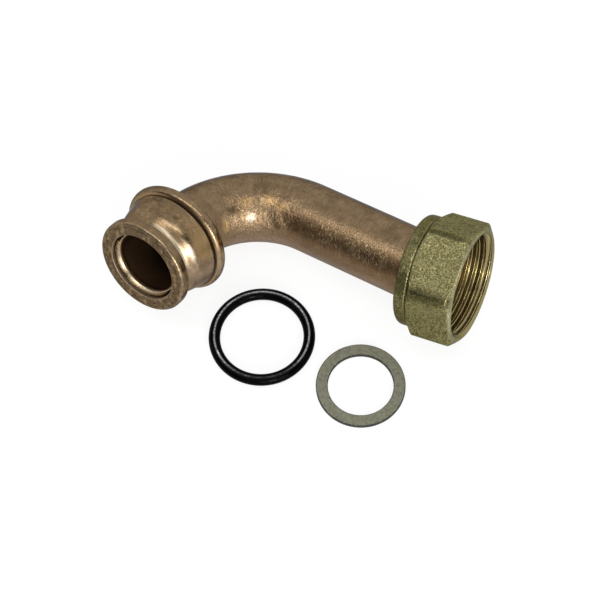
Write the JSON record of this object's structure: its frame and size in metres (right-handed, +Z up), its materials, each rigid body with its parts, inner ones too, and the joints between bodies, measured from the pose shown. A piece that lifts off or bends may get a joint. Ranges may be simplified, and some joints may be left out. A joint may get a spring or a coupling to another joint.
{
  "type": "boiler pipe connection elbow",
  "caption": "Bent copper tube with a roll-formed plug-in spigot at one end and a loose brass hexagon union nut at the other, with its O-ring and flat gasket beside it.",
  "frame": {"origin": "on the floor, below the middle of the outline of the elbow and the two seals", "axes": "+Z up from the floor that everything lies on; +X along the floor, the way the union nut's mouth faces; the spigot points towards -Y"},
  "size_m": [0.112, 0.068, 0.0404],
  "materials": {
    "copper": "satin bare copper",
    "brass": "blasted forged brass, machined thread",
    "rubber": "gloss black rubber",
    "fibre": "matt fibre sheet"
  },
  "bodies": {
    "elbow": {"elbow_tube": "copper"},
    "nut": {"union_nut": "brass"},
    "o_ring_seal": {"o_ring": "rubber"},
    "gasket_seal": {"flat_gasket": "fibre"}
  },
  "joints": [
    {"name": "nut_spin", "type": "hinge", "parent": "elbow", "child": "nut", "pos_m": [0.03608, 0.01517, 0.01865], "axis": [0.9882, 0, 0.1533], "continuous": true},
    {"name": "o_ring_lift", "type": "slide", "parent": "elbow", "child": "o_ring_seal", "axis": [0, 0, 1], "range_m": [0, 0.06]},
    {"name": "gasket_lift", "type": "slide", "parent": "elbow", "child": "gasket_seal", "axis": [0, 0, 1], "range_m": [0, 0.06]}
  ]
}
